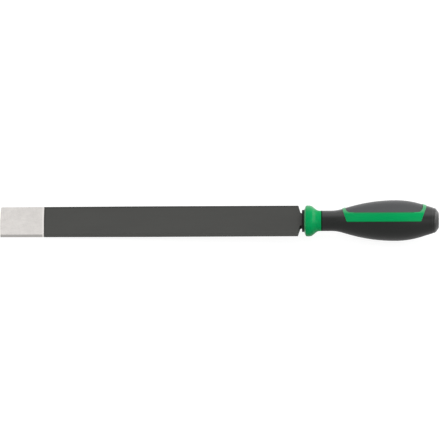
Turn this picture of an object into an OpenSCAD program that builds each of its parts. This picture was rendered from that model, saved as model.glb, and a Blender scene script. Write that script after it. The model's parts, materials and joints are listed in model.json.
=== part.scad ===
// Flat hand scraper, lying as it rests on a table: on its cutting edge and on the belly of its grip.
// Every piece is drawn along +X from the cutting edge, with the flat face of the blade up,
// and is laid down last.

/* [Blade] */
// Length from the cutting edge to the root of the shoulders
blade_len = 250; // [200:10:300]
// Width of the blade
blade_w = 30; // [26:0.5:36]
// Thickness from the end of the taper back to the neck
blade_t = 4.8; // [4.2:0.1:6]
// Thickness that the taper starts from at the cutting edge, before the tip is ground
front_t = 3.8; // [3.6:0.1:4.2]
// Distance from the cutting edge to the end of the taper
taper_len = 120; // [80:5:160]
// Radius of the long edges
edge_r = 0.6; // [0.3:0.1:1]

/* [Ground tip] */
// Length that is ground bright on both faces
ground_len = 36; // [20:1:50]
// Thickness of the ground tip
tip_t = 3.4; // [2.6:0.1:3.5]
// Slope of the short run-out between the ground face and the black face
runout_slope = 28; // [15:1:60]
// Radius of the crowned cutting edge
crown_r = 240; // [120:10:400]

/* [Shoulders and tang] */
// Length over which the shoulders slope in to the neck
shoulder_len = 2; // [1.5:0.1:8]
// Radius at the root of the shoulders
root_r = 1.2; // [0.4:0.1:2]
// Width of the neck
neck_w = 13.6; // [12.4:0.1:16]
// Length of the neck between the shoulders and the ring
neck_len = 1.2; // [0.8:0.1:4]
// Width of the tang where it enters the ring
tang_w = 10.4; // [8:0.1:11.4]
// Thickness of the tang where it enters the ring
tang_t = 4; // [3:0.1:4.2]
// Width of the tang at its end
tang_end_w = 5; // [3:0.5:8]
// Thickness of the tang at its end
tang_end_t = 2.5; // [1.5:0.1:3]
// Length of the tang behind the neck
tang_len = 80; // [50:5:90]

/* [Ring] */
// Diameter of the black ring between the neck and the collar
ring_d = 18.5; // [17:0.5:21]
// Thickness of the ring
ring_t = 1.9; // [1:0.1:3]
// Chamfer on the rim of the ring
ring_chamfer = 0.3; // [0.1:0.1:0.4]

/* [Collar] */
// Largest diameter of the flared collar
collar_d = 25.8; // [24.5:0.1:27.5]
// Length of the collar up to the soft grip
collar_len = 14.2; // [13.2:0.1:18]
// Distance that the front of the collar slopes back from the ring to its rim
collar_front = 1.2; // [0.8:0.1:2.4]
// Radius of the front rim
collar_rim_r = 1.6; // [0.5:0.1:1.8]
// Distance from the front of the collar to where its crest turns down
collar_crest = 5.8; // [5:0.1:7]
// Length of the flare from the crest down to the waist
collar_flare = 5.2; // [4:0.1:6]
// Radius of the crest and of the waist
collar_curve_r = 5; // [3:0.1:7]

/* [Grip] */
// Length of the handle from the front of the collar to the butt
handle_len = 111.9; // [108:0.1:130]
// Diameter of the slim neck of the grip
grip_neck_d = 17.1; // [16:0.1:18]
// Largest diameter of the grip, at its belly
belly_d = 33.9; // [32:0.1:37]
// Distance from the front of the collar to where the slim neck starts to swell
swell_start = 26.7; // [24:0.1:30]
// Radius of the hollow curve where it starts to swell
swell_r = 30; // [10:1:50]
// Distance from the front of the collar to the corner under the front curve of the belly
belly_front = 56; // [53:0.5:60]
// Distance from the front of the collar to the middle of the widest stretch of the belly
belly_mid = 75.6; // [74:0.1:77]
// Length of the widest stretch of the belly, between its front curve and its rear curve
belly_flat = 0.4; // [0.4:0.1:4]
// Distance from the front of the collar to the corner under the rear curve of the belly
belly_rear = 86.6; // [83:0.1:90]
// Slope of the grip behind the belly
rear_slope = 17; // [12:0.5:20]
// Length of the bevelled butt
butt_len = 2.7; // [2:0.1:5]
// Diameter of the flat face at the butt
butt_face_d = 12.4; // [8:0.1:14]
// Radius of the corners of the butt
butt_r = 2.4; // [0.5:0.1:3]
// Thickness of the soft grip round the core
grip_wall = 2; // [1.5:0.1:2.4]
// Thickness of the soft grip behind the core
butt_wall = 4; // [3.5:0.5:8]

/* [Frame in the grip] */
// Angle that the side of the grip is turned from the flat face of the blade
side_turn = 40; // [0:5:90]
// Distance from the front of the collar to the front corner of the frame
frame_start = 35.6; // [34:0.2:38]
// Distance from the rear corner of the frame to the butt
frame_back = 14.5; // [13:0.1:18]
// Height of the lower edge of the frame above the middle of the grip
band_low = -1; // [-2:0.1:2]
// Height of the upper edge of the band above the middle of the grip
band_high = 6.7; // [5.5:0.1:7.2]
// Lean of the two arms of the frame
arm_lean = 20; // [10:1:24]
// Height at which the arms bend inwards
arm_bend = 11; // [11:0.1:12]
// Width of the arms along the grip
arm_w = 2.7; // [2:0.1:3.5]
// Height that the frame stands proud of the soft grip
frame_proud = 0.5; // [0.1:0.1:0.8]
// Radius of the lower corners of the frame
frame_corner_r = 1.2; // [0.3:0.1:2]
// Radius of the lower corners of the panel inside the frame
panel_corner_r = 4; // [1:0.1:4.6]
// Radius where the arms bend
bend_r = 3; // [0.5:0.1:4.5]

/* [Clearances] */
// Gap round the tang in the ring
slot_gap = 0.2; // [0.1:0.05:0.4]
// Gap round the tang in the core
socket_gap = 0.1; // [0.05:0.05:0.2]
// Free length behind the end of the tang
socket_free = 2; // [1:0.5:4]
// Width of the flat seat that shows round the ring
seat_margin = 0.2; // [0.1:0.1:0.5]

/* [Hidden] */
// Largest distance between a rounded corner and the straight steps that draw it
arc_error = 0.01;
// Overshoot of cutting shapes past the surfaces they cut
past = 3;
// Depth that the frame is rooted in the core
frame_root = 1;
round_fn = 180;

neck_end = blade_len + neck_len;
handle_start = neck_end + ring_t;
collar_r = collar_d / 2;
grip_neck_r = grip_neck_d / 2;
belly_r = belly_d / 2;
butt_face_r = butt_face_d / 2;
seat_r = ring_d / 2 + seat_margin;
core_end = handle_len - butt_wall;
frame_end = handle_len - frame_back;
front_slope = atan((belly_r - grip_neck_r) / (belly_front - swell_start));
belly_front_r = (belly_mid - belly_flat / 2 - belly_front) / tan(front_slope / 2);
belly_rear_r = (belly_rear - belly_mid - belly_flat / 2) / tan(rear_slope / 2);
window_top = belly_r + past;

function flat(p) = [p[0], p[1]];
function unit(v) = v / norm(v);
function turned(v, angle) = [v[0] * cos(angle) - v[1] * sin(angle), v[0] * sin(angle) + v[1] * cos(angle)];
function backwards(list) = [for (i = [len(list) - 1 : -1 : 0]) list[i]];

// The corner b between a and c as points: its own point, or an arc of radius b[2] that meets both sides
function corner(a, b, c) =
    b[2] == 0 ? [flat(b)] :
    let (
        to_a = unit(flat(a) - flat(b)),
        to_c = unit(flat(c) - flat(b)),
        half = acos(to_a * to_c) / 2,
        centre = flat(b) + unit(to_a + to_c) * b[2] / sin(half),
        first = flat(b) + to_a * b[2] / tan(half) - centre,
        turn = sign(cross(to_c, to_a)) * (180 - 2 * half),
        steps = max(2, ceil(abs(turn) / (2 * acos(1 - arc_error / b[2]))))
    )
    [for (i = [0 : steps]) centre + turned(first, turn * i / steps)];

// A closed outline of corners [x, y, radius] as points
function outline(corners) =
    let (n = len(corners))
    [for (i = [0 : n - 1]) each corner(corners[(i + n - 1) % n], corners[i], corners[(i + 1) % n])];

// An open path of corners [x, y, radius] as points, with its two ends kept
function path(corners) =
    let (last = len(corners) - 1)
    [flat(corners[0]),
     for (i = [1 : last - 1]) each corner(corners[i - 1], corners[i], corners[i + 1]),
     flat(corners[last])];

// Radius of the straight rear slope of the grip, depth under its surface
function rear_radius(x, depth) = belly_r - depth / cos(rear_slope) - (x - belly_rear) * tan(rear_slope);

// The swell of the grip, depth under its surface, from the collar to the last bend of the belly
function swell_corners(depth) =
    let (
        front_shift = depth * tan(front_slope / 2),
        rear_shift = depth * tan(rear_slope / 2)
    )
    [
        [collar_len, grip_neck_r - depth, 0],
        [swell_start + front_shift, grip_neck_r - depth, swell_r + depth],
        [belly_front + front_shift, belly_r - depth, belly_front_r - depth],
        [belly_rear - rear_shift, belly_r - depth, belly_rear_r - depth]
    ];

function grip_path(proud) =
    let (bevel = handle_len - butt_len)
    path(concat(swell_corners(-proud), [
        [bevel, rear_radius(bevel, -proud), butt_r],
        [handle_len, butt_face_r, butt_r],
        [handle_len, 0, 0]
    ]));

function core_path(depth) =
    path(concat(swell_corners(depth), [
        [core_end, rear_radius(core_end, depth), butt_r],
        [core_end, 0, 0]
    ]));

function collar_path() = path([
    [0, 0, 0],
    [0, seat_r, 0],
    [collar_front, collar_r, collar_rim_r],
    [collar_crest, collar_r, collar_curve_r],
    [collar_crest + collar_flare, grip_neck_r, collar_curve_r],
    [collar_len, grip_neck_r, 0]
]);

// The outline of the frame, or of the panel when it is inset by the arms and starts at the top of the band
function window(inset, low, low_r) =
    let (
        lean = tan(arm_lean),
        low_shift = (low - band_low) * lean,
        bend_shift = (arm_bend - band_low) * lean,
        top_shift = bend_shift - (window_top - arm_bend) * lean
    )
    outline([
        [frame_start + inset - low_shift, low, low_r],
        [frame_end - inset + low_shift, low, low_r],
        [frame_end - inset + bend_shift, arm_bend, bend_r],
        [frame_end - inset + top_shift, window_top, 0],
        [frame_start + inset - top_shift, window_top, 0],
        [frame_start + inset - bend_shift, arm_bend, bend_r]
    ]);

// The laid-down pose: the tip and the belly touch the table, and the middle of the length is at x = 0
belly_reach = concat(collar_path(), grip_path(0));
rest_tilt = max([for (p = belly_reach) atan2(p[1] - tip_t / 2, handle_start + p[0])]);
reach_low = -tip_t / 2 * sin(rest_tilt);
reach_high = max([for (p = belly_reach) (handle_start + p[0]) * cos(rest_tilt) + p[1] * sin(rest_tilt)]);

module laid_down() {
    translate([-(reach_low + reach_high) / 2, 0, tip_t / 2 * cos(rest_tilt)])
        rotate([0, -rest_tilt, 0])
            children();
}

// Turns points [x, radius] about the tool's axis, with x measured from the front of the collar
module turned_on_axis(points) {
    translate([handle_start, 0, 0])
        rotate([0, 90, 0])
            rotate_extrude($fn = round_fn)
                polygon([for (p = points) [p[1], p[0]]]);
}

// Drives an outline [x, height] through the grip from side to side
module through_grip(points) {
    translate([handle_start, 0, 0])
        rotate([side_turn, 0, 0])
            linear_extrude(height = 2 * window_top, center = true)
                polygon(points);
}

// Joins rings of points, each with as many as the others, into a solid
module loft(rings) {
    n = len(rings[0]);
    last = len(rings) - 1;
    polyhedron(
        points = [for (ring = rings) each ring],
        faces = concat(
            [[for (i = [0 : n - 1]) i]],
            [for (k = [0 : last - 1], i = [0 : n - 1])
                let (j = (i + 1) % n)
                [k * n + i, (k + 1) * n + i, (k + 1) * n + j, k * n + j]],
            [[for (i = [n - 1 : -1 : 0]) last * n + i]]
        )
    );
}

// The section of the blade across x, with rounded edges
function section(x, thickness) =
    let (y = blade_w / 2, z = thickness / 2)
    [for (p = outline([[-y, -z, edge_r], [y, -z, edge_r], [y, z, edge_r], [-y, z, edge_r]])) [x, p[0], p[1]]];

// What is ground off above the tip
module ground_off() {
    rise = blade_t;
    rotate([90, 0, 0])
        linear_extrude(height = blade_w + 2 * past, center = true)
            polygon([
                [-past, tip_t / 2],
                [ground_len, tip_t / 2],
                [ground_len + rise / tan(runout_slope), tip_t / 2 + rise],
                [-past, tip_t / 2 + rise]
            ]);
}

// What the crown takes off the two corners of the cutting edge
module crown_off() {
    linear_extrude(height = blade_t + 2 * past, center = true)
        difference() {
            translate([-past, -blade_w / 2 - past])
                square([2 * past, blade_w + 2 * past]);
            translate([crown_r, 0])
                circle(r = crown_r, $fn = round_fn);
        }
}

// What is cut away beside the neck, on the +Y side
module shoulder_off() {
    slope = shoulder_len / (blade_w - neck_w) * 2;
    out = blade_w / 2 + past;
    linear_extrude(height = blade_t + 2 * past, center = true)
        polygon(outline([
            [blade_len - slope * (out - neck_w / 2), out, 0],
            [blade_len, neck_w / 2, root_r],
            [neck_end + past, neck_w / 2, 0],
            [neck_end + past, out, 0]
        ]));
}

// The tapered tang, or its socket when it grows by a gap and a free length
module tang(gap, free) {
    front = neck_end - neck_len / 2;
    back = neck_end + tang_len + free;
    intersection() {
        linear_extrude(height = tang_t + 2 * gap, center = true)
            polygon([
                [front, -tang_w / 2 - gap],
                [neck_end, -tang_w / 2 - gap],
                [back, -tang_end_w / 2 - gap],
                [back, tang_end_w / 2 + gap],
                [neck_end, tang_w / 2 + gap],
                [front, tang_w / 2 + gap]
            ]);
        rotate([90, 0, 0])
            linear_extrude(height = tang_w + 2 * gap, center = true)
                polygon([
                    [front, -tang_t / 2 - gap],
                    [neck_end, -tang_t / 2 - gap],
                    [back, -tang_end_t / 2 - gap],
                    [back, tang_end_t / 2 + gap],
                    [neck_end, tang_t / 2 + gap],
                    [front, tang_t / 2 + gap]
                ]);
    }
}

module blade() {
    color("dimgray")
        laid_down() {
            difference() {
                loft([section(0, front_t), section(taper_len, blade_t), section(neck_end, blade_t)]);
                ground_off();
                mirror([0, 0, 1]) ground_off();
                crown_off();
                shoulder_off();
                mirror([0, 1, 0]) shoulder_off();
            }
            tang(0, 0);
        }
}

module bolster_ring() {
    r = ring_d / 2;
    color("black")
        laid_down()
            difference() {
                translate([neck_end, 0, 0])
                    rotate([0, 90, 0])
                        rotate_extrude($fn = round_fn)
                            polygon([
                                [0, 0],
                                [r - ring_chamfer, 0],
                                [r, ring_chamfer],
                                [r, ring_t - ring_chamfer],
                                [r - ring_chamfer, ring_t],
                                [0, ring_t]
                            ]);
                translate([neck_end + ring_t / 2, 0, 0])
                    cube([ring_t + 2 * past, tang_w + 2 * slot_gap, tang_t + 2 * slot_gap], center = true);
            }
}

module handle_core() {
    color("mediumseagreen")
        laid_down()
            difference() {
                union() {
                    turned_on_axis(concat(collar_path(), core_path(grip_wall)));
                    intersection() {
                        turned_on_axis(concat(
                            grip_path(frame_proud),
                            backwards(core_path(grip_wall + frame_root))
                        ));
                        difference() {
                            through_grip(window(0, band_low, frame_corner_r));
                            through_grip(window(arm_w, band_high, panel_corner_r));
                        }
                    }
                }
                tang(socket_gap, socket_free);
            }
}

// The soft skin round the core, before it is parted by the frame
module grip_skin() {
    turned_on_axis(concat(grip_path(0), backwards(core_path(grip_wall))));
}

module grip_sleeve() {
    color("dimgray")
        laid_down()
            difference() {
                grip_skin();
                through_grip(window(0, band_low, frame_corner_r));
            }
}

module grip_panel() {
    color("gray")
        laid_down()
            intersection() {
                grip_skin();
                through_grip(window(arm_w, band_high, panel_corner_r));
            }
}

blade();
bolster_ring();
handle_core();
grip_sleeve();
grip_panel();
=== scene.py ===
"""Flat hand scraper at rest: a black blade with its ground tip, a black ring and a two-component grip.

Every length is in metres. Each piece is modelled on the tool's own axes, with +X from the cutting edge to
the butt and the flat face of the blade up, and is then laid down in the frame, where the tip and the belly
touch the floor.
"""
import json
from bisect import bisect_right
from math import atan2, ceil, cos, hypot, pi, radians, sin, sqrt, tan

import bmesh
import bpy
from bmesh.types import BMEdge, BMFace, BMVert
from bpy.props import FloatProperty, FloatVectorProperty, IntProperty, PointerProperty
from mathutils import Matrix, Vector


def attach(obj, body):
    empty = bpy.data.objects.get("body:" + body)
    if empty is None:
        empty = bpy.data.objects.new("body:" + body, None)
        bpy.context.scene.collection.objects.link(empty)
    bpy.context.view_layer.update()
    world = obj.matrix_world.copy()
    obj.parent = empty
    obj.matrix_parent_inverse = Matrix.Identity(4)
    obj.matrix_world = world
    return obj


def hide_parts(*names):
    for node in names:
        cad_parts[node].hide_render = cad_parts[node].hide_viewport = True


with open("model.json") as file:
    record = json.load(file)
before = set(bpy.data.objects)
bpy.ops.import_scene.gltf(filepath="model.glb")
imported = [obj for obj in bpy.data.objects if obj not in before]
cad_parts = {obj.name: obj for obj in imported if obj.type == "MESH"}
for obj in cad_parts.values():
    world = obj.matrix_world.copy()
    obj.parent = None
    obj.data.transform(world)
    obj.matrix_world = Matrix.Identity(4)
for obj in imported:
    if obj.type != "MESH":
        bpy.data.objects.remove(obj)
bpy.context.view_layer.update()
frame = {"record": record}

bl_info = {
    "name": "Flat Scraper",
    "version": (1, 0, 0),
    "blender": (4, 5, 0),
    "location": "3D View > Sidebar > Scraper",
    "description": "Models a flat hand scraper, piece by piece",
    "category": "Add Mesh",
}

MM = 0.001
# Distance under which points are one
WELD = 1e-6
# Largest turn of one step round an arc
ARC_TURN = radians(9)
# Steps across the crowned cutting edge
CROWN_STEPS = 24
# Edges that turn more than this stay crisp
SHARP = radians(35)
# Share of a mesh cell by which a vertex may be moved onto a cut, and the steps that bring it there
SETTLE_REACH = 0.4
SETTLE_STEPS = 4
# A piece's second finish: the ground tip, or the edges and seams of the plastic, with a painted highlight
# on the green rims and painted shade on the soft seams
SECOND_FINISH = 1
# Where in the sky, from in front (-1) to behind (1), daylight turns into backlight
SKY_CHANGE = (-0.2, 1.1)
X_AXIS = Vector((1, 0, 0))
WHITE = (1, 1, 1, 1)
BLACK = (0, 0, 0, 1)
# What a face of the grip's surface belongs to; each part lies inside the one before it
SLEEVE, FRAME, PANEL = 0, 1, 2


# Settings that the user can change

def offset(name, description, millimetres, **limits):
    """A height above or below an axis, given in millimetres."""
    return FloatProperty(
        name=name, description=description, default=millimetres * MM, unit="LENGTH", precision=4, **limits
    )


def size(name, description, millimetres):
    """A length, given in millimetres."""
    return offset(name, description, millimetres, min=0)


def studio_size(name, description, metres):
    """A length of the studio, given in metres."""
    return FloatProperty(name=name, description=description, default=metres, min=0.5, unit="LENGTH")


def angle(name, description, turn):
    """An angle, given in degrees."""
    return FloatProperty(name=name, description=description, default=radians(turn), subtype="ANGLE")


def lamp_power(name, description, watts):
    """The power of a lamp, given in watts."""
    return FloatProperty(name=name, description=description, default=watts, min=0, unit="POWER")


def light_strength(name, description, share):
    """A strength of light, where 1 is white."""
    return FloatProperty(name=name, description=description, default=share, min=0)


def colour(name, description, default):
    """A colour, given as linear red, green and blue."""
    return FloatVectorProperty(
        name=name, description=description, default=default, size=3, min=0, max=1, subtype="COLOR"
    )


def group(name, kind):
    """A group of settings, described by its own first line."""
    return PointerProperty(type=kind, name=name, description=kind.__doc__)


class BladeSizes(bpy.types.PropertyGroup):
    """Sizes of the blade and its tang"""

    length: size("Length", "From the cutting edge to the shoulders' root", 250)
    width: size("Width", "Across the flat faces", 30)
    thickness: size("Thickness", "Thickness behind the taper", 4.8)
    front_thickness: size("Front Thickness", "At the cutting edge, before the tip is ground", 3.8)
    taper: size("Taper", "From the cutting edge to the end of the taper", 120)
    edge_radius: size("Edge Radius", "Rounding of the long edges", 0.6)
    ground: size("Ground Length", "Length that is ground bright", 36)
    tip_thickness: size("Tip Thickness", "Thickness of the ground tip", 3.4)
    runout: angle("Run-out", "Slope of the step up to the black face", 28)
    crown: size("Crown", "Radius of the cutting edge seen from above", 240)
    shoulder: size("Shoulder", "Length of the shoulders' slope", 2)
    root_radius: size("Root Radius", "Rounding at the shoulders' root", 1.2)
    neck_width: size("Neck Width", "Width in front of the ring", 13.6)
    neck: size("Neck Length", "From the shoulders' root to the ring", 1.2)
    tang_width: size("Tang Width", "Width where it enters the ring", 10.4)
    tang_thickness: size("Tang Thickness", "Thickness where it enters the ring", 4)
    tang_end_width: size("Tang End Width", "Width at its end", 5)
    tang_end_thickness: size("Tang End Thickness", "Thickness at its end", 2.5)
    tang: size("Tang Length", "Length behind the neck", 80)


class RingSizes(bpy.types.PropertyGroup):
    """Sizes of the ring between the neck and the collar"""

    diameter: size("Diameter", "Outside diameter", 18.5)
    thickness: size("Thickness", "Length along the tool", 1.9)
    chamfer: size("Chamfer", "Chamfer on the rim", 0.3)
    slot_gap: size("Slot Gap", "Gap round the tang in the ring", 0.2)


class CollarSizes(bpy.types.PropertyGroup):
    """Sizes of the flared collar at the front of the handle"""

    diameter: size("Diameter", "Largest diameter", 25.8)
    length: size("Length", "Length up to the soft grip", 14.2)
    front: size("Front", "Length that the front face slopes back", 1.2)
    rim_radius: size("Rim Radius", "Rounding of the front rim", 1.6)
    crest: size("Crest", "From the front to where the crest turns down", 5.8)
    flare: size("Flare", "Length from the crest down to the waist", 5.2)
    curve_radius: size("Curve Radius", "Rounding of the crest and of the waist", 5)
    seat_margin: size("Seat Margin", "Width of the seat that shows round the ring", 0.2)
    socket_gap: size("Socket Gap", "Gap round the tang in the core", 0.1)
    socket_free: size("Socket End", "Free length behind the end of the tang", 2)


class GripSizes(bpy.types.PropertyGroup):
    """Sizes of the soft grip, measured from the front of the collar"""

    length: size("Length", "From the front of the collar to the butt", 111.9)
    neck: size("Neck", "Diameter of the slim neck", 17.1)
    belly: size("Belly", "Largest diameter of the grip", 33.9)
    swell_start: size("Swell Start", "Where the slim neck starts to swell", 26.7)
    swell_radius: size("Swell Radius", "Radius of the hollow curve at its start", 30)
    belly_front: size("Belly Front", "Corner under the front curve of the belly", 56)
    belly_middle: size("Belly Middle", "Middle of the widest stretch of the belly", 75.6)
    belly_flat: size("Belly Flat", "Length of the widest stretch", 0.4)
    belly_rear: size("Belly Rear", "Corner under the rear curve of the belly", 86.6)
    rear_slope: angle("Rear Slope", "Slope of the grip behind the belly", 17)
    butt: size("Butt", "Length of the bevelled butt", 2.7)
    butt_face: size("Butt Face", "Diameter of the flat face at the butt", 12.4)
    bevel_radius: size("Bevel Radius", "Rounding of the front corner of the bevel", 3.6)
    butt_radius: size("Butt Radius", "Rounding of the corner of the butt", 2.4)
    wall: size("Wall", "Thickness round the core", 2)
    butt_wall: size("Butt Wall", "Thickness behind the core", 4)
    groove_place: size("Butt Groove Place", "From the butt to the fine groove", 4.6)
    groove_width: size("Butt Groove Width", "Width of the fine groove", 1.1)
    groove_depth: size("Butt Groove Depth", "Depth of the fine groove", 0.2)
    lip: size("Lip", "Rounding of the soft grip at its seams", 0.55)
    mesh_step: size("Mesh Step", "Largest step of the mesh along the grip", 0.8)
    mesh_turns: IntProperty(name="Mesh Turns", description="Steps in one turn", default=144, min=48)


class WindowSizes(bpy.types.PropertyGroup):
    """Sizes of the raised frame, seen from the side of the grip"""

    side_turn: angle("Side Turn", "Turn of the grip's side from the blade's flat face", 40)
    start: size("Start", "From the front of the collar to the front corner of the frame", 35.6)
    back: size("Back", "From the rear corner of the frame to the butt", 14.5)
    band_low: offset("Band Low", "Lower edge of the band above the axis", -1)
    band_high: offset("Band High", "Upper edge of the band above the axis", 6.7)
    arm_lean: angle("Arm Lean", "Lean of the two arms", 20)
    arm_bend: offset("Arm Bend", "Height at which the arms bend inwards", 11)
    arm_width: size("Arm Width", "Width of the arms along the grip", 2.7)
    proud: size("Proud", "Height above the soft grip", 0.5)
    corner_radius: size("Corner Radius", "Rounding of the lower corners of the frame", 1.2)
    panel_radius: size("Panel Radius", "Rounding of the lower corners of the panel", 4)
    bend_radius: size("Bend Radius", "Rounding where the arms bend", 3)
    rim: size("Rim", "Rounding of the frame's top edges", 0.8)


class Finishes(bpy.types.PropertyGroup):
    """Colours of the materials"""

    oxide: colour("Black Oxide", "Blackened steel of the blade", (0.0475, 0.0478, 0.0442))
    ground_steel: colour("Ground Steel", "Bright steel of the tip", (0.595, 0.572, 0.552))
    ring_black: colour("Ring", "Black of the ring", (0.006, 0.006, 0.006))
    green: colour("Green Plastic", "Hard plastic of the collar and frame", (0.0, 0.305, 0.086))
    sleeve: colour("Sleeve", "Soft plastic of the sleeve", (0.0068, 0.0076, 0.0068))
    # The panel is the same soft plastic as the sleeve; its lighter colour is painted light from above
    panel: colour("Panel", "Soft plastic of the panel inside the frame", (0.04, 0.0425, 0.045))


class Studio(bpy.types.PropertyGroup):
    """The floor, the lamps and the camera"""

    elevation: angle("Elevation", "Height of the camera above the horizon", 50)
    roll: angle("Roll", "Turn of the camera about its own axis", 1.47)
    distance: studio_size("Distance", "From the camera to the tool", 12)
    picture_width: size("Picture Width", "Width that the picture takes in at the tool", 365.87)
    aim_along: offset("Aim Along", "Shift of the picture along the tool", 0.43)
    aim_up: offset("Aim Up", "Shift of the picture upwards", 1.09)
    floor_size: studio_size("Floor", "Side of the floor", 12)
    lamp_distance: studio_size("Lamp Distance", "From the lamps to the tool", 1.7)
    daylight: light_strength("Daylight", "Strength of the light from in front", 0.3)
    backlight: light_strength("Backlight", "Strength of the light from behind", 1.9)
    floor_shade: light_strength("Floor Shade", "Grey of the floor under the lamps", 0.25)
    floor_glow: light_strength("Floor Glow", "White of the floor's own, so that its shadow is pale", 0.86)
    softbox: lamp_power("Softbox", "Power of the large lamp overhead", 7)
    front: lamp_power("Front", "Power of the lamp in front, not in reflections", 10)
    strip: lamp_power("Strip", "Power of the long low lamp at the handle's end", 14)
    right_fill: lamp_power("Right Fill", "Power of the small lamp on the right", 4)
    left_fill: lamp_power("Left Fill", "Power of the small lamp on the left", 4)


class ScraperSettings(bpy.types.PropertyGroup):
    """All the sizes and colours of the scraper"""

    blade: group("Blade", BladeSizes)
    ring: group("Ring", RingSizes)
    collar: group("Collar", CollarSizes)
    grip: group("Grip", GripSizes)
    window: group("Frame", WindowSizes)
    finishes: group("Finishes", Finishes)
    studio: group("Studio", Studio)


# Places on the tool's axis

def neck_end(settings):
    """Distance from the cutting edge to the front of the ring."""
    return settings.blade.length + settings.blade.neck


def handle_start(settings):
    """Distance from the cutting edge to the front of the collar."""
    return neck_end(settings) + settings.ring.thickness


def laid_down(settings):
    """Matrix from the tool's own axes to its place at rest, by the mount on the lower face of the tip."""
    mount = next(m for m in frame["record"]["mounts"] if m["name"] == "tip_face")
    down = Vector(mount["axis"])
    turn = Matrix.Rotation(-atan2(down.x, -down.z), 4, "Y")
    on_face = Vector((settings.blade.ground / 2, 0, -settings.blade.tip_thickness / 2))
    return Matrix.Translation(Vector(mount["pos_m"]) - turn @ on_face) @ turn


def handle_place(settings):
    """Matrix from the front of the collar, on the tool's own axes, to the handle's place at rest."""
    return laid_down(settings) @ Matrix.Translation(X_AXIS * handle_start(settings))


# Outlines

def arc(before, corner, after, radius, step):
    """Points of the arc that rounds a corner and meets both its sides."""
    to_before = (before - corner).normalized()
    to_after = (after - corner).normalized()
    half = to_before.angle(to_after) / 2
    centre = corner + (to_before + to_after).normalized() * radius / sin(half)
    first = corner + to_before * radius / tan(half) - centre
    last = corner + to_after * radius / tan(half) - centre
    sweep = -first.angle_signed(last)
    count = ceil(max(abs(sweep) / ARC_TURN, abs(sweep) * radius / step))
    return [centre + Matrix.Rotation(sweep * i / count, 2) @ first for i in range(count + 1)]


def outline(corners, step=1.0, closed=True):
    """Corners (x, y, rounding) as points, with the round ones drawn as arcs."""
    places = [Vector(c[:2]) for c in corners]
    points = []
    for i, (_, _, rounding) in enumerate(corners):
        at_end = not closed and i in (0, len(corners) - 1)
        if at_end or not rounding:
            points.append(places[i])
        else:
            points += arc(places[i - 1], places[i], places[(i + 1) % len(places)], rounding, step)
    return points


def path(corners, step):
    """An open outline with points no further apart than step."""
    corner_points = outline(corners, step, closed=False)
    points = []
    for a, b in zip(corner_points, corner_points[1:]):
        count = ceil((b - a).length / step)
        points += [a.lerp(b, i / count) for i in range(count)]
    return points + corner_points[-1:]


def rear_radius(grip, x):
    """Radius of the straight rear slope of the grip."""
    return grip.belly / 2 - (x - grip.belly_rear) * tan(grip.rear_slope)


def grip_path(settings):
    """The grip from the collar to the middle of the butt, as points (x, radius)."""
    grip = settings.grip
    neck, belly = grip.neck / 2, grip.belly / 2
    front_slope = atan2(belly - neck, grip.belly_front - grip.swell_start)
    front_curve = grip.belly_middle - grip.belly_flat / 2 - grip.belly_front
    rear_curve = grip.belly_rear - grip.belly_middle - grip.belly_flat / 2
    bevel = grip.length - grip.butt
    groove = grip.length - grip.groove_place
    half = grip.groove_width / 2
    return path([
        (settings.collar.length, neck, 0),
        (grip.swell_start, neck, grip.swell_radius),
        (grip.belly_front, belly, front_curve / tan(front_slope / 2)),
        (grip.belly_rear, belly, rear_curve / tan(grip.rear_slope / 2)),
        (groove - half, rear_radius(grip, groove - half), half / 2),
        (groove, rear_radius(grip, groove) - grip.groove_depth, half / 2),
        (groove + half, rear_radius(grip, groove + half), half / 4),
        (bevel, rear_radius(grip, bevel), grip.bevel_radius),
        (grip.length, grip.butt_face / 2, grip.butt_radius),
        (grip.length, 0, 0),
    ], grip.mesh_step)


def collar_path(settings):
    """The collar from its waist forward to its seat on the ring, as points (x, radius)."""
    collar = settings.collar
    rim, neck = collar.diameter / 2, settings.grip.neck / 2
    return path([
        (collar.length, neck, 0),
        (collar.crest + collar.flare, neck, collar.curve_radius),
        (collar.crest, rim, collar.curve_radius),
        (collar.front, rim, collar.rim_radius),
        (0, settings.ring.diameter / 2 + collar.seat_margin, 0),
    ], settings.grip.mesh_step / 2)


def window_outline(settings, inset, low, low_radius):
    """The frame seen from the side, or the panel inside it, as a convex outline (x, height)."""
    window = settings.window
    top = settings.grip.belly
    lean = tan(window.arm_lean)
    low_shift = (low - window.band_low) * lean
    bend_shift = (window.arm_bend - window.band_low) * lean
    top_shift = bend_shift - (top - window.arm_bend) * lean
    front, rear = window.start + inset, settings.grip.length - window.back - inset
    return outline([
        (front - low_shift, low, low_radius),
        (rear + low_shift, low, low_radius),
        (rear + bend_shift, window.arm_bend, window.bend_radius),
        (rear + top_shift, top, 0),
        (front - top_shift, top, 0),
        (front - bend_shift, window.arm_bend, window.bend_radius),
    ])


# Mesh work

def of_kind(kind, geometry):
    """The vertices, edges or faces among some geometry."""
    return [g for g in geometry if isinstance(g, kind)]


def around(faces):
    """Faces with their edges and vertices."""
    edges = {e for f in faces for e in f.edges}
    verts = {v for f in faces for v in f.verts}
    return [*faces, *edges, *verts]


def radius_of(co):
    """Distance from the tool's axis."""
    return hypot(co.y, co.z)


def at_radius(co, x, radius):
    """The point in the same direction from the tool's axis, at another place along it and radius."""
    return Vector((0, co.y, co.z)).normalized() * radius + X_AXIS * x


def cut(bm, faces, place, normal, **options):
    """Cuts faces along a plane and returns what bmesh made."""
    return bmesh.ops.bisect_plane(
        bm, geom=around(faces), dist=WELD, plane_co=place, plane_no=normal, **options
    )


def round_edges(bm, edges, width, steps, finish=-1):
    """Rounds edges over a width on both their sides, in the same finish or another."""
    bmesh.ops.bevel(
        bm, geom=edges, offset=width, offset_type="OFFSET", segments=steps, profile=0.5, affect="EDGES",
        material=finish, clamp_overlap=True, loop_slide=False,
    )


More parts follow.
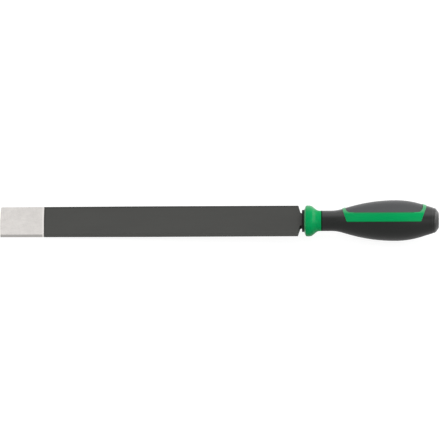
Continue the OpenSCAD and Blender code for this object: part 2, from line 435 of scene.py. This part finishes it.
def refinish(bm, end):
    """Gives the faces in front of a place on the axis the second finish."""
    for f in bm.faces:
        if f.calc_center_median().x < end:
            f.material_index = SECOND_FINISH


def extrude_faces(bm, faces):
    """Extrudes faces and returns the new vertices and faces."""
    made = bmesh.ops.extrude_face_region(bm, geom=faces)["geom"]
    return of_kind(BMVert, made), of_kind(BMFace, made)


def extrude_loop(bm, edges, place):
    """Extrudes a loop of edges, moves the new vertices with place and returns the new loop."""
    made = bmesh.ops.extrude_edge_only(bm, edges=edges)["geom"]
    for v in of_kind(BMVert, made):
        v.co = place(v.co)
    return [e for e in of_kind(BMEdge, made) if e.is_boundary]


def extrude_ring(bm, edges, x, radius):
    """Extrudes a loop round the tool's axis to another ring."""
    return extrude_loop(bm, edges, lambda co: at_radius(co, x, radius))


def extrude_slot(bm, edges, x, width, height, gap):
    """Extrudes a loop to a rectangle with a gap round the tang, and a vertex in each of its corners."""
    half = Vector((0, width / 2 + gap, height / 2 + gap))

    def on_side(co):
        scale = min(half[i] / max(abs(co[i]), WELD) for i in (1, 2))
        return Vector((x, co.y * scale, co.z * scale))

    loop = extrude_loop(bm, edges, on_side)
    verts = {v for e in loop for v in e.verts}
    for y in (-half.y, half.y):
        for z in (-half.z, half.z):
            corner = Vector((x, y, z))
            min(verts, key=lambda v: (v.co - corner).length).co = corner
    return loop


def front_loop(bm, x):
    """The open edges at a place on the tool's axis."""
    return [e for e in bm.edges if e.is_boundary and all(abs(v.co.x - x) < WELD for v in e.verts)]


def lathe(points, turns, start):
    """A surface of points (x, radius) spun a full turn about the tool's axis from a start direction."""
    bm = bmesh.new()
    verts = [bm.verts.new(X_AXIS * x + start * radius) for x, radius in points]
    edges = [bm.edges.new(pair) for pair in zip(verts, verts[1:])]
    bmesh.ops.spin(
        bm, geom=verts + edges, cent=(0, 0, 0), axis=X_AXIS, angle=2 * pi, steps=turns, use_merge=True
    )
    bmesh.ops.remove_doubles(bm, verts=bm.verts, dist=WELD)
    bmesh.ops.recalc_face_normals(bm, faces=bm.faces)
    return bm


class Profile:
    """Radius and slope along a turned surface that is straight between its points."""

    def __init__(self, points):
        self.points = points
        self.places = [p.x for p in points]

    def at(self, x):
        """Radius and slope at a place on the axis."""
        i = min(max(bisect_right(self.places, x), 1), len(self.places) - 1)
        a, b = self.points[i - 1], self.points[i]
        slope = (b.y - a.y) / (b.x - a.x)
        return a.y + (x - a.x) * slope, slope


def sides_of(points):
    """The sides of a convex outline as (nx, ny, distance), with the normal pointing out."""
    sides = []
    for a, b in zip(points, points[1:] + points[:1]):
        run = (b - a).normalized()
        sides.append((run.y, -run.x, run.y * a.x - run.x * a.y))
    return sides


def settle(verts, points, profile, up, step, turns):
    """Slides vertices that lie nearly on an outline onto it, so that its cut leaves no slivers."""
    sides = sides_of(points)
    out = X_AXIS.cross(up)
    for v in verts:
        x = v.co.x
        turn = atan2(v.co.dot(up), v.co.dot(out))
        limit = SETTLE_REACH * min(step, 2 * pi * radius_of(v.co) / turns)
        # A vertex that would have to go further in any step stays where it is
        for _ in range(SETTLE_STEPS):
            radius, slope = profile.at(x)
            height = radius * sin(turn)
            nx, ny, far = max(sides, key=lambda s: s[0] * x + s[1] * height - s[2])
            distance = nx * x + ny * height - far
            along = nx + ny * sin(turn) * slope
            across = ny * cos(turn)
            steepness = hypot(along, across)
            if abs(distance) > limit * steepness:
                break
            x -= distance * along / steepness ** 2
            turn -= distance * across / steepness ** 2 / radius
        else:
            radius, _ = profile.at(x)
            v.co = X_AXIS * x + (up * sin(turn) + out * cos(turn)) * radius


def cut_along(bm, faces, points, up):
    """Cuts faces along a convex outline (x, height) seen from the side and returns those inside it."""
    inside = faces
    for a, b in zip(points, points[1:] + points[:1]):
        run = (b - a).normalized()
        origin = X_AXIS * a.x + up * a.y
        normal = X_AXIS * run.y - up * run.x
        parts = of_kind(BMFace, cut(bm, inside, origin, normal)["geom"])
        inside = [f for f in parts if (f.calc_center_median() - origin).dot(normal) < 0]
    return inside


def parted_grip(settings):
    """The outer surface of the grip, with its faces marked in a layer as sleeve, frame or panel."""
    grip, window = settings.grip, settings.window
    up = Vector((0, cos(window.side_turn), sin(window.side_turn)))
    points = grip_path(settings)
    bm = lathe(points, grip.mesh_turns, up)
    region = bm.faces.layers.int.new("region")
    rear = grip.length - grip.groove_place - grip.groove_width
    profile = Profile([p for p in points if p.x < rear])
    frame_outline = window_outline(settings, 0, window.band_low, window.corner_radius)
    panel_outline = window_outline(settings, window.arm_width, window.band_high, window.panel_radius)
    for mark, points in ((FRAME, frame_outline), (PANEL, panel_outline)):
        # Vertices far below the outline are left out
        low = points[0].y - grip.wall
        near = [v for v in bm.verts if v.co.x < profile.places[-1] and v.co.dot(up) > low]
        settle(near, points, profile, up, grip.mesh_step, grip.mesh_turns)
        faces = [f for f in bm.faces if f[region] == mark - 1 and all(v.co.x < rear for v in f.verts)]
        for f in cut_along(bm, faces, points, up):
            f[region] = mark
    return bm, region


# Pieces

def add_object(name, data):
    """Adds a mesh, lamp or camera to the scene."""
    item = bpy.data.objects.new(name, data)
    bpy.context.scene.collection.objects.link(item)
    return item


def add_mesh(name, bm, finishes):
    """Adds the mesh to the scene with its finishes."""
    mesh = bpy.data.meshes.new(name)
    bm.to_mesh(mesh)
    bm.free()
    for finish in finishes:
        mesh.materials.append(finish)
    return add_object(name, mesh)


def add_piece(name, bm, node, finishes, place):
    """Makes the mesh a smooth piece that stands for a CAD node, laid down in the frame."""
    bmesh.ops.transform(bm, matrix=place, verts=bm.verts)
    piece = add_mesh(name, bm, finishes)
    piece.data.shade_smooth()
    piece.data.set_sharp_from_angle(angle=SHARP)
    weighted = piece.modifiers.new("Level flats", "WEIGHTED_NORMAL")
    weighted.keep_sharp = True
    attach(piece, "root")
    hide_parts(node)


def blade_plan(blade, end):
    """The blade seen from above, with the crowned cutting edge at its front, as points (x, y)."""
    half, neck = blade.width / 2, blade.neck_width / 2
    shoulder = blade.length - blade.shoulder
    crown = []
    for i in range(CROWN_STEPS + 1):
        y = half - blade.width * i / CROWN_STEPS
        crown.append((blade.crown - sqrt(blade.crown ** 2 - y ** 2), y, 0))
    near = [(shoulder, -half, 0), (blade.length, -neck, blade.root_radius), (end, -neck, 0)]
    far = [(x, -y, rounding) for x, y, rounding in reversed(near)]
    return outline(crown + near + far)


def blade_bar(blade, end):
    """The blade before its tip is ground: a tapered bar with rounded long edges."""
    bm = bmesh.new()
    verts = [bm.verts.new((*p, -blade.thickness / 2)) for p in blade_plan(blade, end)]
    face = bm.faces.new(verts)
    verts, _ = extrude_faces(bm, [face])
    bmesh.ops.translate(bm, verts=verts, vec=(0, 0, blade.thickness))
    bmesh.ops.recalc_face_normals(bm, faces=bm.faces)
    cut(bm, bm.faces, X_AXIS * blade.taper, X_AXIS)
    for v in bm.verts:
        if v.co.x < blade.taper:
            share = v.co.x / blade.taper
            thickness = blade.front_thickness * (1 - share) + blade.thickness * share
            v.co.z *= thickness / blade.thickness
    corner = blade.crown - sqrt(blade.crown ** 2 - blade.width ** 2 / 4)
    rims = []
    for e in bm.edges:
        a, b = (v.co for v in e.verts)
        at_tip = max(a.x, b.x) < corner + WELD
        at_neck = min(a.x, b.x) > end - WELD
        if a.z * b.z > 0 and e.calc_face_angle() > SHARP and not at_tip and not at_neck:
            rims.append(e)
    round_edges(bm, rims, blade.edge_radius, steps=4)
    return bm


def grind(bm, blade):
    """Grinds both faces of the tip flat, with a short run-out, and gives them the bright finish."""
    rise = tan(blade.runout)
    growth = (blade.thickness - blade.front_thickness) / 2 / blade.taper
    step_height = blade.front_thickness / 2 + growth * blade.ground - blade.tip_thickness / 2
    runout_end = blade.ground + step_height / (rise - growth)
    for x in (blade.ground, runout_end):
        cut(bm, bm.faces, X_AXIS * x, X_AXIS)
    tip = [f for f in bm.faces if f.calc_center_median().x < blade.ground]
    step = [f for f in bm.faces if blade.ground < f.calc_center_median().x < runout_end]
    for side in (1, -1):
        corner = Vector((blade.ground, 0, side * blade.tip_thickness / 2))
        tip = of_kind(BMFace, cut(bm, tip, corner, Vector((0, 0, side)))["geom"])
        step = of_kind(BMFace, cut(bm, step, corner, Vector((-rise, 0, side)))["geom"])
    refinish(bm, runout_end)
    for v in bm.verts:
        if v.co.x < runout_end - WELD:
            height = blade.tip_thickness / 2 + max(v.co.x - blade.ground, 0) * rise
            v.co.z = max(min(v.co.z, height), -height)
    bmesh.ops.dissolve_degenerate(bm, edges=bm.edges, dist=WELD)


def add_tang(bm, blade, end):
    """Draws the tang out of the end of the neck."""
    faces = [max(bm.faces, key=lambda f: f.calc_center_median().x)]
    width, thickness = blade.neck_width, blade.thickness
    sections = (
        (end, blade.tang_width, blade.tang_thickness),
        (end + blade.tang, blade.tang_end_width, blade.tang_end_thickness),
    )
    for x, next_width, next_thickness in sections:
        verts, faces = extrude_faces(bm, faces[:1])
        for v in verts:
            v.co = (x, v.co.y * next_width / width, v.co.z * next_thickness / thickness)
        width, thickness = next_width, next_thickness


# Finishes

class Socket:
    """The output of a shader node, from which sums, differences and products make Math nodes."""

    def __init__(self, finish, output):
        self.finish = finish
        self.output = output

    def sibling(self, name):
        """Another output of the same node."""
        return Socket(self.finish, self.output.node.outputs[name])

    def __add__(self, other):
        return self.finish.maths("ADD", self, other)

    def __sub__(self, other):
        return self.finish.maths("SUBTRACT", self, other)

    def __rsub__(self, other):
        return self.finish.maths("SUBTRACT", other, self)

    def __mul__(self, other):
        return self.finish.maths("MULTIPLY", self, other)

    def __abs__(self):
        return self.finish.maths("ABSOLUTE", self, 0)

    __radd__ = __add__
    __rmul__ = __mul__


class Finish:
    """A material or world whose nodes are added one by one."""

    def __init__(self, data):
        self.data = data
        self.data.use_nodes = True
        self.tree = self.data.node_tree
        self.tree.nodes.clear()

    def node(self, kind, settings=None, inputs=None, output=0):
        """Adds a node with its settings and the values or links of its sockets, and returns one output."""
        node = self.tree.nodes.new(kind)
        for name, value in (settings or {}).items():
            setattr(node, name, value)
        for name, value in (inputs or {}).items():
            if isinstance(value, Socket):
                self.tree.links.new(value.output, node.inputs[name])
            else:
                node.inputs[name].default_value = value
        return Socket(self, node.outputs[output]) if node.outputs else None

    def maths(self, operation, first, second):
        """A Math node of the two numbers."""
        return self.node("ShaderNodeMath", {"operation": operation}, {0: first, 1: second})

    def on_tool(self, settings):
        """Places on the tool's own axes, measured from the cutting edge."""
        places = self.node("ShaderNodeTexCoord", output="Object")
        back = laid_down(settings).inverted()
        return self.node(
            "ShaderNodeMapping",
            inputs={"Vector": places, "Location": back.translation, "Rotation": back.to_euler()},
        )

    def noise(self, at, scale, detail=2.0, turn=0.0):
        """Noise from 0 to 1 with so many cells a metre along each axis, turned about the blade's normal."""
        turned = self.node("ShaderNodeMapping", inputs={"Vector": at, "Rotation": (0, 0, turn)})
        stretched = self.node("ShaderNodeMapping", inputs={"Vector": turned, "Scale": scale})
        return self.node("ShaderNodeTexNoise", inputs={"Vector": stretched, "Scale": 1.0, "Detail": detail})

    def between(self, value, low, high):
        """0 at low and 1 at high, with a smooth change between; low may be the larger."""
        return self.node(
            "ShaderNodeMapRange", {"interpolation_type": "SMOOTHSTEP"},
            {"Value": value, "From Min": low, "From Max": high},
        )

    def past(self, value, place, low, high):
        """0 at low and 1 at high, both in millimetres past a place."""
        return self.between(value, place + low * MM, place + high * MM)

    def mixed(self, share, first, second):
        """A colour between two."""
        return self.node("ShaderNodeMix", {"data_type": "RGBA"}, {0: share, 6: first, 7: second}, output=2)

    def layered(self, tone, base, layers):
        """Lays layers (mask, share, tint) of a base colour over a tone, one after the other."""
        for mask, share, tint in layers:
            tone = self.mixed(mask * share, tone, tinted(base, tint))
        return tone

    def apart(self, vector):
        """The three parts of a vector."""
        x = self.node("ShaderNodeSeparateXYZ", inputs={0: vector})
        return x, x.sibling("Y"), x.sibling("Z")

    def up_the_side(self, at, settings):
        """Height above the tool's axis, as seen from the side of the grip."""
        _, across, height = self.apart(at)
        turn = settings.window.side_turn
        return across * cos(turn) + height * sin(turn)

    def showing(self):
        """1 for rays that show the background: straight to the camera, in a reflection or through glass."""
        seen = self.node("ShaderNodeLightPath", output="Is Camera Ray")
        return seen + seen.sibling("Is Glossy Ray") + seen.sibling("Is Transmission Ray")

    def bumped(self, height, depth):
        """A normal that follows a height from 0 to 1, so many metres deep."""
        return self.node("ShaderNodeBump", inputs={"Strength": 1.0, "Distance": depth, "Height": height})

    def surface(self, **inputs):
        """Ends the material in a Principled surface; underscores stand for spaces in sockets' names."""
        named = {name.replace("_", " "): value for name, value in inputs.items()}
        surface = self.node("ShaderNodeBsdfPrincipled", inputs=named)
        self.node("ShaderNodeOutputMaterial", inputs={"Surface": surface})
        return self.data


def tinted(rgb, factor):
    """A colour made lighter or darker, with its alpha."""
    return (*(min(c * factor, 1) for c in rgb), 1)


def black_oxide(settings):
    """Blackened steel: cloudy patches, roll lines, painted shade at the run-out, far edge and shoulders,
    painted light at the near edge.
    """
    finish = Finish(bpy.data.materials.new("Black oxide"))
    at = finish.on_tool(settings)
    base = settings.finishes.oxide
    clouds = finish.noise(at, (22, 60, 60), detail=3)
    lines = finish.noise(at, (16, 2200, 2200))
    specks = finish.noise(at, (1800, 1800, 1800))
    along, across, _ = finish.apart(at)
    blade = settings.blade
    side = blade.width / 2
    # Painted shade: darker just past the run-out, along the far edge and along the shoulders; painted
    # light: lighter along the near edge
    tip = 1 - finish.past(along, blade.ground, 1.1, 2.2)
    far = finish.past(across, side, -2.4, -1.7) - finish.past(across, side, -0.7, -0.4)
    near = 1 - finish.past(across, -side, 0.1, 0.3)
    slope = (blade.width - blade.neck_width) / 2 / blade.shoulder
    beside = abs(across) + along * slope - (side + blade.length * slope)
    shoulder = finish.between(beside, -2.2 * MM * slope, -0.6 * MM * slope)
    tone = finish.mixed(clouds, tinted(base, 0.86), tinted(base, 1.14))
    # Each mask, its share of the colour and its tint of the base
    layers = (
        (lines, 0.35, 0.8),
        (finish.between(specks, 0.6, 0.8), 0.25, 1.5),
        (tip, 0.6, 0.4),
        (far, 0.6, 0.45),
        (shoulder, 0.6, 0.45),
        (near, 1, 1.23),
    )
    return finish.surface(
        Base_Color=finish.layered(tone, base, layers),
        Metallic=0.55,
        Roughness=0.4 + clouds * 0.12 + lines * 0.06,
        Normal=finish.bumped(lines * 0.6 + specks * 0.4, 0.012 * MM),
    )


def ground_steel(settings):
    """Bright steel from the grinding wheel and the stone: fine crossed scratches over soft patches, painted
    shade on the sides and a painted highlight where the grinding ends.
    """
    finish = Finish(bpy.data.materials.new("Ground steel"))
    at = finish.on_tool(settings)
    base = settings.finishes.ground_steel
    patches = finish.noise(at, (170, 230, 230), detail=3)
    scratches = 0
    # Directions of the crossed scratches, in degrees
    for heading in (-31, 12, 74):
        streaks = finish.noise(at, (110, 2600, 400), detail=1, turn=radians(heading))
        scratches = scratches + finish.between(streaks, 0.5, 0.74)
    along, across, _ = finish.apart(at)
    side = settings.blade.width / 2
    # Painted shade: darker on the tip's long sides
    sides = finish.past(abs(across), side, -0.25, -0.05)
    # The grinding ends on a line that leans and bows a little
    lean, bow = 0.016, 1.07
    beyond = along + across * lean - across * across * bow - settings.blade.ground
    # Painted highlight: lighter just before the grinding ends; past it the step shows the black oxide,
    # darker still as painted shade
    painted_runout_highlight = finish.past(beyond, 0, -1.6, -0.5)
    unground = finish.past(beyond, 0, 0.25, 0.5)
    tone = finish.mixed(patches, tinted(base, 0.87), tinted(base, 1.12))
    tone = finish.layered(tone, base, ((scratches, 0.2, 0.68), (sides, 1, 0.62), (painted_runout_highlight, 1, 1.12)))
    return finish.surface(
        Base_Color=finish.mixed(unground, tone, tinted(settings.finishes.oxide, 0.6)),
        Metallic=1.0,
        Roughness=0.32 + scratches * 0.05 + patches * 0.08,
        Normal=finish.bumped(scratches * 0.33, 0.01 * MM),
    )


def satin_black(settings):
    """Black paint on the ring."""
    finish = Finish(bpy.data.materials.new("Satin black"))
    at = finish.on_tool(settings)
    base = settings.finishes.ring_black
    peel = finish.noise(at, (900, 900, 900))
    return finish.surface(
        Base_Color=finish.mixed(peel, tinted(base, 0.8), tinted(base, 1.2)),
        Roughness=0.42 + peel * 0.1,
        Specular_IOR_Level=0.15,
        Normal=finish.bumped(peel, 0.01 * MM),
    )


def green_plastic(settings, name, gloss, rim_highlight):
    """Hard moulded plastic with a satin face, painted highlights on the upper frame, the collar's top and
    its flare, and painted shade along the frame's seams.
    """
    finish = Finish(bpy.data.materials.new(name))
    at = finish.on_tool(settings)
    # A share of white in the base: a painted highlight for the rounded rims
    base = [c * (1 - 2 * rim_highlight) + rim_highlight for c in settings.finishes.green]
    flow = finish.noise(at, (60, 90, 90), detail=3)
    grain = finish.noise(at, (2400, 2400, 2400))
    along, _, _ = finish.apart(at)
    up = finish.up_the_side(at, settings)
    window, length, start = settings.window, settings.grip.length, handle_start(settings)
    on_frame = finish.between(along, start + settings.collar.length, start + window.start)
    # Painted highlight: paler and coated where the light falls on the frame's upper arms, the collar's top
    # and a streak on its flare
    painted_arm_highlight = finish.past(up, window.band_high, -1.2, 1.8)
    painted_collar_highlight = finish.past(up, 0, 7, 12) * 0.6
    flare_highlight_middle = start + settings.collar.crest + 2.2 * MM
    flare = finish.past(abs(along - flare_highlight_middle), 0, 1.6, 0.4) * finish.past(up, 0, -3, 3) * 0.16
    rubbed_and_highlight = on_frame * painted_arm_highlight + (1 - on_frame) * (painted_collar_highlight + (1 - painted_collar_highlight) * flare)
    # Painted shade: darker green along the frame's seams with the panel and the sleeve, where the groove
    # lies in shade
    middle = start + (window.start + length - window.back) / 2
    opening = (length - window.back - window.start) / 2 - window.arm_width - window.panel_radius
    at_panel = finish.past(abs(along - middle), opening, 2, 0)
    under_panel = finish.past(up, window.band_high, -0.8, -0.2) * at_panel
    above_sleeve = finish.past(up, window.band_low, 0.7, 0.1)
    painted_seam_shade = on_frame * (under_panel + above_sleeve)
    tone = finish.mixed(flow, tinted(base, 0.92), tinted(base, 1.08))
    tone = finish.mixed(painted_seam_shade * 0.7, tone, tinted(base, 0.3))
    return finish.surface(
        Base_Color=finish.mixed(rubbed_and_highlight * 0.5, tone, (*(0.85 * c + 0.06 for c in base), 1)),
        Coat_Weight=rubbed_and_highlight,
        Coat_Roughness=0.32,
        Roughness=0.26 + flow * 0.08 + grain * 0.04,
        Specular_IOR_Level=gloss,
        Normal=finish.bumped(grain, 0.006 * MM),
    )


def soft_plastic(settings, name, base, gloss=0.38, coat_sheen=0.0):
    """Soft grip with a fine grain and rubbed patches, and a coat on its upper side, a painted sheen of the
    light from above, and on its butt.
    """
    finish = Finish(bpy.data.materials.new(name))
    at = finish.on_tool(settings)
    along, _, _ = finish.apart(at)
    # Painted sheen: a coat on the upper side, where the light from above falls; the butt is coated as well
    upper = finish.past(finish.up_the_side(at, settings), 0, 2, 6.5)
    butt_end = handle_start(settings) + settings.grip.length
    butt = finish.past(along, butt_end, -5, -2.5) * 0.45
    rubbed_and_highlight = finish.noise(at, (45, 70, 70), detail=4)
    grain = finish.noise(at, (2600, 2600, 2600), detail=3)
    return finish.surface(
        Base_Color=finish.mixed(rubbed_and_highlight, tinted(base, 0.85), tinted(base, 1.18)),
        Coat_Weight=(upper + (1 - upper) * butt) * coat_sheen,
        Coat_Roughness=0.38,
        Roughness=0.34 + rubbed_and_highlight * 0.12 + grain * 0.06,
        Specular_IOR_Level=gloss,
        Normal=finish.bumped(grain, 0.03 * MM),
    )


# Operators

class ScraperOperator:
    """What the operators have in common."""

    bl_options = {"REGISTER", "UNDO"}


class SCRAPER_OT_blade(ScraperOperator, bpy.types.Operator):
    """Model the blade with its ground tip, shoulders, neck and tang"""

    bl_idname = "scraper.blade"
    bl_label = "Blade"

    def execute(self, context):
        settings = context.scene.scraper
        end = neck_end(settings)
        bm = blade_bar(settings.blade, end)
        grind(bm, settings.blade)
        add_tang(bm, settings.blade, end)
        finishes = [black_oxide(settings), ground_steel(settings)]
        add_piece("steel_blade", bm, "blade", finishes, laid_down(settings))
        return {"FINISHED"}


class SCRAPER_OT_ring(ScraperOperator, bpy.types.Operator):
    """Model the ring between the neck and the collar"""

    bl_idname = "scraper.ring"
    bl_label = "Ring"

    def execute(self, context):
        settings = context.scene.scraper
        ring, blade = settings.ring, settings.blade
        front, back = neck_end(settings), handle_start(settings)
        inner, outer = blade.tang_width / 2, ring.diameter / 2
        rim = outline([
            (front, inner, 0),
            (front, outer, ring.chamfer),
            (back, outer, ring.chamfer),
            (back, inner, 0),
        ])[1:-1]
        bm = bmesh.new()
        facing = Matrix.Translation(X_AXIS * rim[0].x) @ Matrix.Rotation(pi / 2, 4, "Y")
        bmesh.ops.create_circle(bm, radius=rim[0].y, segments=settings.grip.mesh_turns, matrix=facing)
        first = loop = bm.edges[:]
        for x, radius in rim[1:]:
            loop = extrude_ring(bm, loop, x, radius)
        for x in (back, front):
            loop = extrude_slot(bm, loop, x, blade.tang_width, blade.tang_thickness, ring.slot_gap)
        bmesh.ops.bridge_loops(bm, edges=first + loop)
        bmesh.ops.recalc_face_normals(bm, faces=bm.faces)
        finishes = [satin_black(settings)]
        add_piece("steel_ring", bm, "bolster_ring", finishes, laid_down(settings))
        return {"FINISHED"}


class SCRAPER_OT_core(ScraperOperator, bpy.types.Operator):
    """Model the hard moulding: the flared collar, the core round the tang and the raised frame"""

    bl_idname = "scraper.core"
    bl_label = "Collar, Core and Frame"

    def execute(self, context):
        settings = context.scene.scraper
        grip, blade, collar, window = settings.grip, settings.blade, settings.collar, settings.window
        bm, region = parted_grip(settings)
        core_end = grip.length - grip.butt_wall
        made = cut(bm, bm.faces, X_AXIS * core_end, X_AXIS, clear_outer=True)
        bmesh.ops.contextual_create(bm, geom=of_kind(BMEdge, made["geom_cut"]))
        raised, tops = map(set, extrude_faces(bm, [f for f in bm.faces if f[region] == FRAME]))
        for v in bm.verts:
            depth = -window.proud if v in raised else grip.wall
            v.co = at_radius(v.co, v.co.x, radius_of(v.co) - depth)
        rims = [e for e in bm.edges if len(tops.intersection(e.link_faces)) == 1]
        # The rounded rims take the paler rim finish, a painted highlight
        round_edges(bm, rims, window.rim, steps=3, finish=SECOND_FINISH)
        loop = extrude_ring(bm, front_loop(bm, collar.length), collar.length, grip.neck / 2)
        shoulder = loop
        for x, radius in collar_path(settings)[1:]:
            loop = extrude_ring(bm, loop, x, radius)
        back = -settings.ring.thickness + blade.tang + collar.socket_free
        gap = collar.socket_gap
        loop = extrude_slot(bm, loop, 0, blade.tang_width, blade.tang_thickness, gap)
        loop = extrude_slot(bm, loop, back, blade.tang_end_width, blade.tang_end_thickness, gap)
        bmesh.ops.contextual_create(bm, geom=loop)
        # The collar's front takes the rim finish too, as a painted highlight
        refinish(bm, collar.front)
        round_edges(bm, shoulder, grip.lip / 3, steps=2)
        bmesh.ops.recalc_face_normals(bm, faces=bm.faces)
        face = green_plastic(settings, "Green plastic", gloss=0.06, rim_highlight=0)
        rim = green_plastic(settings, "Green rim", gloss=0.8, rim_highlight=0.07)
        add_piece("plastic_core", bm, "handle_core", [face, rim], handle_place(settings))
        return {"FINISHED"}


class SCRAPER_OT_soft_grip(ScraperOperator, bpy.types.Operator):
    """Model the two soft pieces of the grip: the sleeve and the panel inside the frame"""

    bl_idname = "scraper.soft_grip"
    bl_label = "Sleeve and Panel"

    def execute(self, context):
        settings = context.scene.scraper
        grip = settings.grip
        core_end = grip.length - grip.butt_wall
        sleeve = soft_plastic(settings, "Soft sleeve", settings.finishes.sleeve, gloss=0.23, coat_sheen=0.95)
        # The panel's lighter colour is painted light on the upper side of the grip
        panel = soft_plastic(settings, "Soft panel", settings.finishes.panel, coat_sheen=0.2)
        # A darker, duller copy of the sleeve for the seams: painted shade in the grooves beside the frame
        # and the collar
        seam_shade = soft_plastic(settings, "Soft seam", tinted(settings.finishes.sleeve, 0.4)[:3], gloss=0.03)
        pieces = (
            ("soft_sleeve", "grip_sleeve", SLEEVE, sleeve),
            ("soft_panel", "grip_panel", PANEL, panel),
        )
        for name, node, mark, finish in pieces:
            bm, region = parted_grip(settings)
            others = [f for f in bm.faces if f[region] != mark]
            bmesh.ops.delete(bm, geom=others, context="FACES")
            rims = [e for e in bm.edges if e.is_boundary]
            verts, _ = extrude_faces(bm, bm.faces[:])
            for v in verts:
                v.co = at_radius(v.co, min(v.co.x, core_end), max(radius_of(v.co) - grip.wall, 0))
            bmesh.ops.recalc_face_normals(bm, faces=bm.faces)
            # The rounded seams and the grip's front end take the painted shade
            round_edges(bm, rims, grip.lip, steps=3, finish=SECOND_FINISH)
            refinish(bm, settings.collar.length + grip.mesh_step)
            add_piece(name, bm, node, [finish, seam_shade], handle_place(settings))
        return {"FINISHED"}


class SCRAPER_OT_studio(ScraperOperator, bpy.types.Operator):
    """Set up the white floor, the soft lamps and the camera"""

    bl_idname = "scraper.studio"
    bl_label = "Studio"

    def execute(self, context):
        settings = context.scene.scraper
        studio = settings.studio
        scene = context.scene
        scene.view_settings.view_transform = "Standard"
        self.add_floor(studio)
        scene.world = self.light_world(studio)
        middle = laid_down(settings) @ (X_AXIS * (handle_start(settings) + settings.grip.length) / 2)
        # Name, degrees round the tool from its front, degrees above the floor, power, sides, in reflections
        lamps = (
            ("Softbox", 0, 100, studio.softbox, (2.2, 1.5), True),
            ("Front", 0, 30, studio.front, (2.0, 1.0), False),
            ("Strip", 98, 13, studio.strip, (2.0, 0.45), True),
            ("Right fill", 48, 40, studio.right_fill, (0.9, 0.9), True),
            ("Left fill", -70, 42, studio.left_fill, (0.9, 0.9), True),
        )
        for name, azimuth, height, *light in lamps:
            away = self.towards(radians(azimuth), radians(height)) * studio.lamp_distance
            self.add_lamp(name, middle, away, *light)
        scene.camera = self.add_camera(middle, studio)
        return {"FINISHED"}

    @staticmethod
    def towards(azimuth, elevation):
        """The direction from the tool to a place round it, with azimuth 90 degrees at the handle's end."""
        return Vector((sin(azimuth) * cos(elevation), -cos(azimuth) * cos(elevation), sin(elevation)))

    def add_floor(self, studio):
        """Adds a matt floor that shows white, with a pale shadow."""
        bm = bmesh.new()
        bmesh.ops.create_grid(bm, x_segments=1, y_segments=1, size=studio.floor_size / 2)
        finish = Finish(bpy.data.materials.new("White floor"))
        white = finish.surface(
            Base_Color=tinted((studio.floor_shade,) * 3, 1),
            Roughness=1.0,
            Specular_IOR_Level=0.0,
            Emission_Color=finish.mixed(finish.showing(), BLACK, WHITE),
            Emission_Strength=studio.floor_glow,
        )
        floor = add_mesh("Floor", bm, [white])

    def light_world(self, studio):
        """A world with soft light, more from behind, in front of a white background."""
        sky = Finish(bpy.data.worlds.new("Daylight"))
        _, depth, _ = sky.apart(sky.node("ShaderNodeTexCoord", output="Generated"))
        behind = sky.between(depth, *SKY_CHANGE)
        strength = behind * (studio.backlight - studio.daylight) + studio.daylight
        soft = sky.node("ShaderNodeBackground", inputs={"Color": WHITE, "Strength": strength})
        white = sky.node("ShaderNodeBackground", inputs={"Color": WHITE, "Strength": 1.0})
        both = sky.node("ShaderNodeMixShader", inputs={0: sky.showing(), 1: soft, 2: white})
        sky.node("ShaderNodeOutputWorld", inputs={"Surface": both})
        return sky.data

    def add_lamp(self, name, middle, away, watts, sides, in_reflections):
        """Adds a rectangular lamp that faces the middle of the tool."""
        lamp = bpy.data.lights.new(name, "AREA")
        lamp.shape = "RECTANGLE"
        lamp.energy = watts
        lamp.size, lamp.size_y = sides
        holder = add_object(name, lamp)
        holder.location = middle + away
        holder.rotation_euler = away.to_track_quat("Z", "Y").to_euler()
        holder.visible_glossy = in_reflections

    def add_camera(self, middle, studio):
        """Adds a far camera that looks at the tool from in front and above."""
        camera = bpy.data.cameras.new("Camera")
        camera.lens = camera.sensor_width * studio.distance / studio.picture_width
        way = self.towards(0, studio.elevation)
        turn = way.to_track_quat("Z", "Y").to_matrix().to_4x4() @ Matrix.Rotation(studio.roll, 4, "Z")
        aim = middle + turn.to_3x3() @ Vector((studio.aim_along, studio.aim_up, 0))
        holder = add_object("Camera", camera)
        holder.matrix_world = Matrix.Translation(aim + way * studio.distance) @ turn
        return holder


class SCRAPER_PT_panel(bpy.types.Panel):
    """The scraper's sizes, colours and buttons"""

    bl_idname = "SCRAPER_PT_panel"
    bl_label = "Flat Scraper"
    bl_space_type = "VIEW_3D"
    bl_region_type = "UI"
    bl_category = "Scraper"

    def draw(self, context):
        """Shows a button for each operator and then every size, group by group."""
        settings = context.scene.scraper
        for operator in OPERATORS:
            self.layout.operator(operator.bl_idname)
        for key, title in settings.bl_rna.properties.items():
            sizes = getattr(settings, key)
            if isinstance(sizes, bpy.types.PropertyGroup):
                box = self.layout.box()
                box.label(text=title.name)
                for name in sizes.bl_rna.properties.keys():
                    if name not in ("rna_type", "name"):
                        box.prop(sizes, name)


OPERATORS = (SCRAPER_OT_studio, SCRAPER_OT_blade, SCRAPER_OT_ring, SCRAPER_OT_core, SCRAPER_OT_soft_grip)
GROUPS = (BladeSizes, RingSizes, CollarSizes, GripSizes, WindowSizes, Finishes, Studio, ScraperSettings)
CLASSES = (*GROUPS, *OPERATORS, SCRAPER_PT_panel)


def register():
    """Registers the classes and gives the scene its settings."""
    for cls in CLASSES:
        bpy.utils.register_class(cls)
    bpy.types.Scene.scraper = PointerProperty(type=ScraperSettings)


def unregister():
    """Takes away the scene's settings and the classes."""
    del bpy.types.Scene.scraper
    for cls in reversed(CLASSES):
        bpy.utils.unregister_class(cls)


def main():
    """Models the stage and the tool."""
    register()
    bpy.ops.scraper.studio()
    bpy.ops.scraper.blade()
    bpy.ops.scraper.ring()
    bpy.ops.scraper.core()
    bpy.ops.scraper.soft_grip()


if __name__ == "__main__":
    main()
